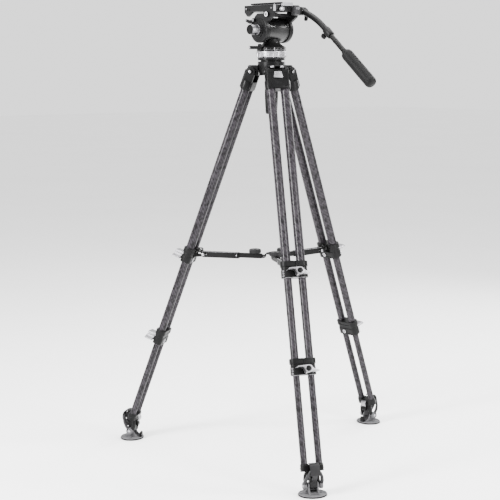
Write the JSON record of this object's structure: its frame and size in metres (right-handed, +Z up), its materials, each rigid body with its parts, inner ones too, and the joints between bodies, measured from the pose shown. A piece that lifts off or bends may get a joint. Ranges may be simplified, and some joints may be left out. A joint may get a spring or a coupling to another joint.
{
  "type": "video tripod with fluid head",
  "caption": "Twin-tube carbon-fibre video tripod with a levelling bowl, mid-level spreader, pivoting feet and a fluid pan-and-tilt head with one handle.",
  "frame": {"origin": "On the floor, in the middle of the model's bounding box seen from above; the undersides of the three foot pads lie at Z = 0. The tripod's upright axis (the bowl's centre line) stands at X -0.11044, Y 0.0213, because the three feet are not spread evenly about that middle.", "axes": "+Z up along the bowl's axis. +Y is the way the head looks, so the operator and the pan handle are at -Y. -X is the side of the counterbalance knob."},
  "size_m": [0.9114, 0.9946, 1.562],
  "materials": {
    "carbon_fibre": "woven carbon fibre under a clear coat",
    "black_casting": "black painted casting, satin",
    "graphite_casting": "dark graphite anodised, satin",
    "silver_metal": "bare machined, satin",
    "steel_fasteners": "turned and polished",
    "grey_plastic": "moulded, fine grain",
    "black_plastic": "moulded, fine grain",
    "grip_rubber": "ribbed soft rubber",
    "level_vial": "clear vial with a pale liquid"
  },
  "bodies": {
    "crown": {"bowl_crown": "black_casting"},
    "half_ball": {"half_ball_base": "black_casting"},
    "bowl_knob": {"bowl_clamp_knob": "black_plastic"},
    "drag_ring": {"pan_drag_ring": "silver_metal"},
    "pan": {"pan_base": "graphite_casting"},
    "pan_lock": {"pan_lock_lever": "black_casting"},
    "cradle": {"tilt_cradle": "graphite_casting", "bubble_level": "level_vial"},
    "counterbalance": {"counterbalance_knob": "silver_metal"},
    "tilt_lock": {"tilt_lock_lever": "black_casting"},
    "plate": {"quick_plate": "black_casting"},
    "plate_lock": {"plate_lock_knob": "silver_metal"},
    "handle": {"handle_arm": "black_casting"},
    "rosette_knob": {"handle_rosette_knob": "black_plastic"},
    "wing_knob": {"handle_wing_knob": "black_plastic"},
    "extension": {"handle_extension": "carbon_fibre", "handle_grip": "grip_rubber"},
    "hub": {"spreader_hub": "grey_plastic"},
    "leg1": {"leg1_head": "black_casting", "leg1_hinge_bolt": "steel_fasteners", "leg1_upper_tube_a": "carbon_fibre", "leg1_upper_tube_b": "carbon_fibre", "leg1_upper_clamp": "black_casting"},
    "leg1_catch": {"leg1_angle_catch": "silver_metal"},
    "leg1_upper_clamp_lever": {"leg1_upper_lever": "silver_metal"},
    "leg1_middle": {"leg1_middle_stage": "carbon_fibre"},
    "leg1_lower_clamp_lever": {"leg1_lower_lever": "silver_metal"},
    "leg1_lower": {"leg1_lower_stage": "carbon_fibre"},
    "leg1_pad": {"leg1_foot": "grey_plastic"},
    "leg1_channel": {"leg1_spreader_channel": "black_casting"},
    "leg1_bar": {"leg1_spreader_bar": "graphite_casting"},
    "leg1_arm_lock": {"leg1_spreader_knob": "grey_plastic"},
    "leg2": {"leg2_head": "black_casting", "leg2_hinge_bolt": "steel_fasteners", "leg2_upper_tube_a": "carbon_fibre", "leg2_upper_tube_b": "carbon_fibre", "leg2_upper_clamp": "black_casting"},
    "leg2_catch": {"leg2_angle_catch": "silver_metal"},
    "leg2_upper_clamp_lever": {"leg2_upper_lever": "silver_metal"},
    "leg2_middle": {"leg2_middle_stage": "carbon_fibre"},
    "leg2_lower_clamp_lever": {"leg2_lower_lever": "silver_metal"},
    "leg2_lower": {"leg2_lower_stage": "carbon_fibre"},
    "leg2_pad": {"leg2_foot": "grey_plastic"},
    "leg2_channel": {"leg2_spreader_channel": "black_casting"},
    "leg2_bar": {"leg2_spreader_bar": "graphite_casting"},
    "leg2_arm_lock": {"leg2_spreader_knob": "grey_plastic"},
    "leg3": {"leg3_head": "black_casting", "leg3_hinge_bolt": "steel_fasteners", "leg3_upper_tube_a": "carbon_fibre", "leg3_upper_tube_b": "carbon_fibre", "leg3_upper_clamp": "black_casting"},
    "leg3_catch": {"leg3_angle_catch": "silver_metal"},
    "leg3_upper_clamp_lever": {"leg3_upper_lever": "silver_metal"},
    "leg3_middle": {"leg3_middle_stage": "carbon_fibre"},
    "leg3_lower_clamp_lever": {"leg3_lower_lever": "silver_metal"},
    "leg3_lower": {"leg3_lower_stage": "carbon_fibre"},
    "leg3_pad": {"leg3_foot": "grey_plastic"},
    "leg3_channel": {"leg3_spreader_channel": "black_casting"},
    "leg3_bar": {"leg3_spreader_bar": "graphite_casting"},
    "leg3_arm_lock": {"leg3_spreader_knob": "grey_plastic"}
  },
  "joints": [
    {"name": "leg1_fold", "type": "hinge", "parent": "crown", "child": "leg1", "pos_m": [-0.13809, -0.03719, 1.33], "axis": [0.9041, -0.4274, 0], "range_deg": [0, 16.5]},
    {"name": "leg1_catch_pull", "type": "slide", "parent": "leg1", "child": "leg1_catch", "axis": [-0.4017, -0.8497, 0.3415], "range_m": [0, 0.006], "stiffness_N_per_m": 300, "springref_m": -0.002},
    {"name": "leg1_upper_lever_turn", "type": "hinge", "parent": "leg1", "child": "leg1_upper_clamp_lever", "pos_m": [-0.24205, -0.27115, 0.68567], "axis": [-0.4017, -0.8497, 0.3415], "range_deg": [0, 90]},
    {"name": "leg1_middle_extend", "type": "slide", "parent": "leg1", "child": "leg1_middle", "axis": [-0.146, -0.3088, -0.9399], "range_m": [-0.255, 0]},
    {"name": "leg1_lower_lever_turn", "type": "hinge", "parent": "leg1_middle", "child": "leg1_lower_clamp_lever", "pos_m": [-0.2878, -0.36795, 0.38517], "axis": [-0.4017, -0.8497, 0.3415], "range_deg": [0, 90]},
    {"name": "leg1_lower_extend", "type": "slide", "parent": "leg1_middle", "child": "leg1_lower", "axis": [-0.146, -0.3088, -0.9399], "range_m": [-0.25, 0]},
    {"name": "leg1_ankle", "type": "hinge", "parent": "leg1_lower", "child": "leg1_pad", "pos_m": [-0.33523, -0.45425, 0.032], "axis": [0.9041, -0.4274, 0], "range_deg": [-25, 25]},
    {"name": "leg1_arm_fold", "type": "hinge", "parent": "leg1", "child": "leg1_channel", "pos_m": [-0.21514, -0.2002, 0.691], "axis": [0.9041, -0.4274, 0], "range_deg": [0, 60.35]},
    {"name": "leg1_arm_shorten", "type": "slide", "parent": "leg1_channel", "child": "leg1_bar", "axis": [-0.4274, -0.9041, 0], "range_m": [0, 0.0801]},
    {"name": "leg1_arm_lock_turn", "type": "hinge", "parent": "leg1_bar", "child": "leg1_arm_lock", "pos_m": [-0.13523, -0.03114, 0.691], "axis": [0, 0, 1], "range_deg": [0, 180]},
    {"name": "leg2_fold", "type": "hinge", "parent": "crown", "child": "leg2", "pos_m": [-0.04596, 0.0266, 1.33], "axis": [-0.0819, 0.9966, 0], "range_deg": [0, 16.5]},
    {"name": "leg2_catch_pull", "type": "slide", "parent": "leg2", "child": "leg2_catch", "axis": [0.9367, 0.077, 0.3415], "range_m": [0, 0.006], "stiffness_N_per_m": 300, "springref_m": -0.002},
    {"name": "leg2_upper_lever_turn", "type": "hinge", "parent": "leg2", "child": "leg2_upper_clamp_lever", "pos_m": [0.20864, 0.05355, 0.68567], "axis": [0.9367, 0.077, 0.3415], "range_deg": [0, 90]},
    {"name": "leg2_middle_extend", "type": "slide", "parent": "leg2", "child": "leg2_middle", "axis": [0.3404, 0.028, -0.9399], "range_m": [-0.255, 0]},
    {"name": "leg2_lower_lever_turn", "type": "hinge", "parent": "leg2_middle", "child": "leg2_lower_clamp_lever", "pos_m": [0.31534, 0.06233, 0.38517], "axis": [0.9367, 0.077, 0.3415], "range_deg": [0, 90]},
    {"name": "leg2_lower_extend", "type": "slide", "parent": "leg2_middle", "child": "leg2_lower", "axis": [0.3404, 0.028, -0.9399], "range_m": [-0.25, 0]},
    {"name": "leg2_ankle", "type": "hinge", "parent": "leg2_lower", "child": "leg2_pad", "pos_m": [0.41379, 0.0644, 0.032], "axis": [-0.0819, 0.9966, 0], "range_deg": [-25, 25]},
    {"name": "leg2_arm_fold", "type": "hinge", "parent": "leg2", "child": "leg2_channel", "pos_m": [0.13374, 0.04138, 0.691], "axis": [-0.0819, 0.9966, 0], "range_deg": [0, 60.35]},
    {"name": "leg2_arm_shorten", "type": "slide", "parent": "leg2_channel", "child": "leg2_bar", "axis": [0.9966, 0.0819, 0], "range_m": [0, 0.0801]},
    {"name": "leg2_arm_lock_turn", "type": "hinge", "parent": "leg2_bar", "child": "leg2_arm_lock", "pos_m": [-0.05264, 0.02605, 0.691], "axis": [0, 0, 1], "range_deg": [0, 180]},
    {"name": "leg3_fold", "type": "hinge", "parent": "crown", "child": "leg3", "pos_m": [-0.14727, 0.07449, 1.33], "axis": [-0.8221, -0.5693, 0], "range_deg": [0, 16.5]},
    {"name": "leg3_catch_pull", "type": "slide", "parent": "leg3", "child": "leg3_catch", "axis": [-0.535, 0.7727, 0.3415], "range_m": [0, 0.006], "stiffness_N_per_m": 300, "springref_m": -0.002},
    {"name": "leg3_upper_lever_turn", "type": "hinge", "parent": "leg3", "child": "leg3_upper_clamp_lever", "pos_m": [-0.29791, 0.2815, 0.68567], "axis": [-0.535, 0.7727, 0.3415], "range_deg": [0, 90]},
    {"name": "leg3_middle_extend", "type": "slide", "parent": "leg3", "child": "leg3_middle", "axis": [-0.1944, 0.2808, -0.9399], "range_m": [-0.255, 0]},
    {"name": "leg3_lower_lever_turn", "type": "hinge", "parent": "leg3_middle", "child": "leg3_lower_clamp_lever", "pos_m": [-0.35886, 0.36953, 0.38517], "axis": [-0.535, 0.7727, 0.3415], "range_deg": [0, 90]},
    {"name": "leg3_lower_extend", "type": "slide", "parent": "leg3_middle", "child": "leg3_lower", "axis": [-0.1944, 0.2808, -0.9399], "range_m": [-0.25, 0]},
    {"name": "leg3_ankle", "type": "hinge", "parent": "leg3_lower", "child": "leg3_pad", "pos_m": [-0.40988, 0.45375, 0.032], "axis": [-0.8221, -0.5693, 0], "range_deg": [-25, 25]},
    {"name": "leg3_arm_fold", "type": "hinge", "parent": "leg3", "child": "leg3_channel", "pos_m": [-0.24991, 0.22273, 0.691], "axis": [-0.8221, -0.5693, 0], "range_deg": [0, 60.35]},
    {"name": "leg3_arm_shorten", "type": "slide", "parent": "leg3_channel", "child": "leg3_bar", "axis": [-0.5693, 0.8221, 0], "range_m": [0, 0.0801]},
    {"name": "leg3_arm_lock_turn", "type": "hinge", "parent": "leg3_bar", "child": "leg3_arm_lock", "pos_m": [-0.14346, 0.06898, 0.691], "axis": [0, 0, 1], "range_deg": [0, 180]},
    {"name": "hub_level", "type": "hinge", "parent": "leg1_bar", "child": "hub", "pos_m": [-0.1207, -0.0004, 0.691], "axis": [0.9041, -0.4274, 0], "range_deg": [-76.86, 0]},
    {"name": "head_level", "type": "hinge", "parent": "crown", "child": "half_ball", "pos_m": [-0.11044, 0.0213, 1.365], "axis": [1, 0, 0], "range_deg": [-4.5, 4.5]},
    {"name": "bowl_knob_turn", "type": "hinge", "parent": "half_ball", "child": "bowl_knob", "pos_m": [-0.11044, 0.0213, 1.25], "axis": [0, 0, 1], "continuous": true},
    {"name": "drag_ring_turn", "type": "hinge", "parent": "half_ball", "child": "drag_ring", "pos_m": [-0.11044, 0.0213, 1.389], "axis": [0, 0, 1], "range_deg": [-90, 90]},
    {"name": "pan", "type": "hinge", "parent": "half_ball", "child": "pan", "pos_m": [-0.11044, 0.0213, 1.407], "axis": [0, 0, 1], "continuous": true},
    {"name": "pan_lock_turn", "type": "hinge", "parent": "pan", "child": "pan_lock", "pos_m": [-0.16944, 0.0133, 1.409], "axis": [0, 0, 1], "range_deg": [0, 35]},
    {"name": "tilt", "type": "hinge", "parent": "pan", "child": "cradle", "pos_m": [-0.11044, 0.0213, 1.471], "axis": [1, 0, 0], "range_deg": [-75, 60]},
    {"name": "counterbalance_turn", "type": "hinge", "parent": "cradle", "child": "counterbalance", "pos_m": [-0.18744, 0.0213, 1.471], "axis": [-1, 0, 0], "range_deg": [0, 270]},
    {"name": "tilt_lock_turn", "type": "hinge", "parent": "cradle", "child": "tilt_lock", "pos_m": [-0.17144, 0.0433, 1.503], "axis": [1, 0, 0], "range_deg": [-40, 0]},
    {"name": "plate_slide", "type": "slide", "parent": "cradle", "child": "plate", "axis": [0, 1, 0], "range_m": [-0.06, 0]},
    {"name": "plate_lock_turn", "type": "hinge", "parent": "cradle", "child": "plate_lock", "pos_m": [-0.13744, -0.0637, 1.538], "axis": [0, -1, 0], "range_deg": [0, 90]},
    {"name": "handle_angle", "type": "hinge", "parent": "cradle", "child": "handle", "pos_m": [-0.04124, -0.0587, 1.533], "axis": [-1, 0, 0], "range_deg": [-25, 60]},
    {"name": "rosette_knob_turn", "type": "hinge", "parent": "handle", "child": "rosette_knob", "pos_m": [-0.02544, -0.0587, 1.533], "axis": [1, 0, 0], "range_deg": [0, 90]},
    {"name": "wing_knob_turn", "type": "hinge", "parent": "handle", "child": "wing_knob", "pos_m": [-0.04124, -0.17029, 1.44934], "axis": [0, 0.6239, -0.7815], "range_deg": [0, 180]},
    {"name": "handle_extend", "type": "slide", "parent": "handle", "child": "extension", "axis": [0, -0.7815, -0.6239], "range_m": [0, 0.045]}
  ],
  "couplings": [
    {"joint": "leg1_arm_fold", "follows": "leg1_fold", "ratio": 3.6573},
    {"joint": "leg1_arm_shorten", "follows": "leg1_fold", "m_per_rad": 0.2778},
    {"joint": "leg2_fold", "follows": "leg1_fold", "ratio": 1},
    {"joint": "leg2_arm_fold", "follows": "leg1_fold", "ratio": 3.6573},
    {"joint": "leg2_arm_shorten", "follows": "leg1_fold", "m_per_rad": 0.2778},
    {"joint": "leg3_fold", "follows": "leg1_fold", "ratio": 1},
    {"joint": "leg3_arm_fold", "follows": "leg1_fold", "ratio": 3.6573},
    {"joint": "leg3_arm_shorten", "follows": "leg1_fold", "m_per_rad": 0.2778},
    {"joint": "hub_level", "follows": "leg1_fold", "ratio": -4.6573}
  ]
}
